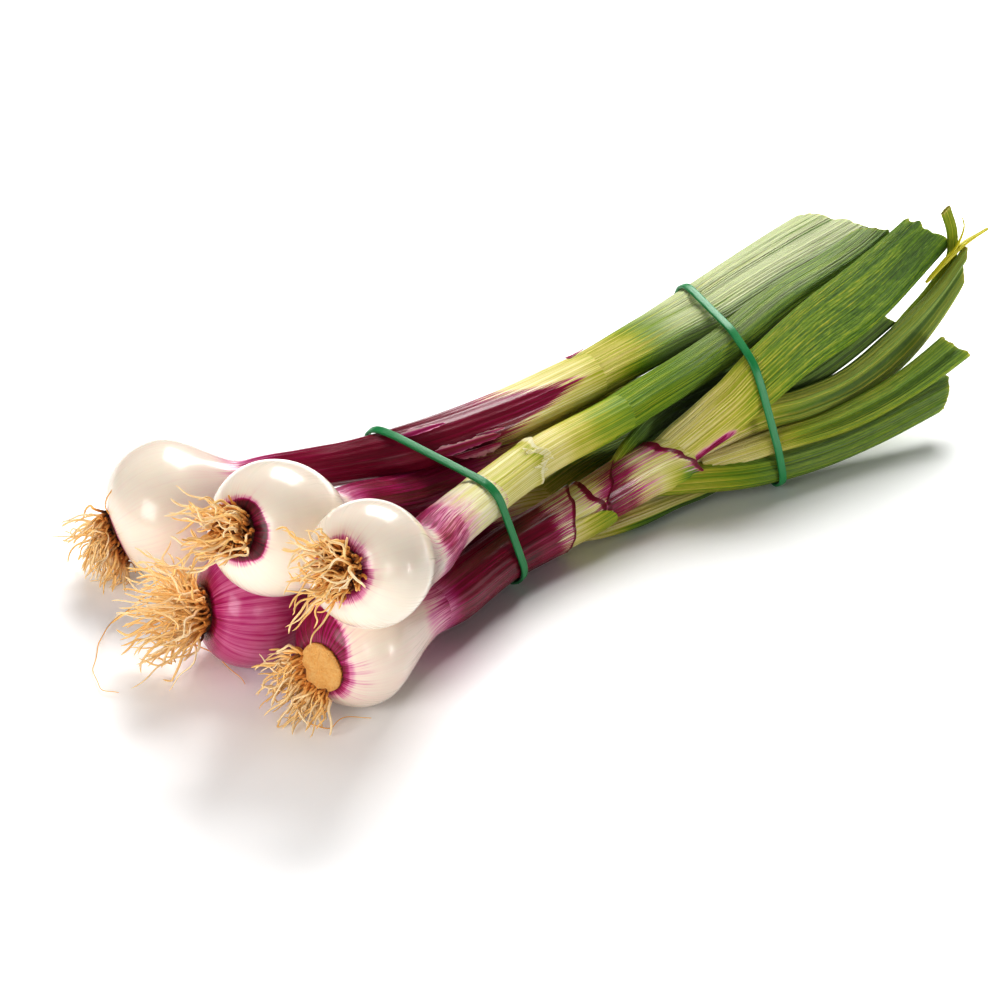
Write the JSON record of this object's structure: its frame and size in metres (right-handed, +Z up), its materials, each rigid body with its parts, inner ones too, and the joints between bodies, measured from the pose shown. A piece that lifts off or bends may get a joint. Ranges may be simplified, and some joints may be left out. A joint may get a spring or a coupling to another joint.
{
  "type": "bunch of red onions",
  "caption": "Bunch of fresh red onions with root tufts, purple necks and cut green leaves, held together by two green rubber bands and lying on its side.",
  "frame": {"origin": "centre of the footprint on the table", "axes": "+X along the bunch from the bulbs to the leaf tips, +Z up from the table, +Y to the left of +X seen from above"},
  "size_m": [0.3882, 0.187, 0.0928],
  "materials": {
    "onion_skin_white": "satin white onion skin with pink streaks, purple towards the neck",
    "onion_skin_red": "satin magenta onion skin, paler at the shoulder",
    "leaf_green": "waxy ribbed green leaf",
    "leaf_young": "waxy ribbed yellow-green leaf",
    "sprout_yellow": "soft yellow sprout",
    "root_straw": "dry straw-coloured root",
    "band_green": "smooth green rubber"
  },
  "bodies": {
    "root": {"onion_1_bulb": "onion_skin_white", "onion_1_roots": "root_straw", "onion_2_bulb": "onion_skin_white", "onion_2_roots": "root_straw", "onion_3_bulb": "onion_skin_white", "onion_3_roots": "root_straw", "onion_4_bulb": "onion_skin_red", "onion_4_roots": "root_straw", "onion_5_bulb": "onion_skin_red", "onion_5_roots": "root_straw", "onion_1_leaf_broad": "leaf_green", "onion_1_leaf_rear": "leaf_green", "onion_2_leaf": "leaf_green", "onion_4_leaf_rear": "leaf_green", "onion_5_leaf_flat": "leaf_green", "onion_5_leaf_inner": "leaf_green", "onion_5_leaf_grooved": "leaf_green", "onion_5_leaf_low": "leaf_green", "onion_5_leaf_back": "leaf_green", "onion_3_leaf": "leaf_young", "onion_4_leaf_lower": "leaf_young", "onion_5_leaf_channel": "leaf_young", "onion_5_leaf_stub": "leaf_young", "onion_5_leaf_strap": "leaf_young", "onion_5_sprout": "sprout_yellow", "rubber_band_lower": "band_green", "rubber_band_upper": "band_green"}
  },
  "joints": []
}
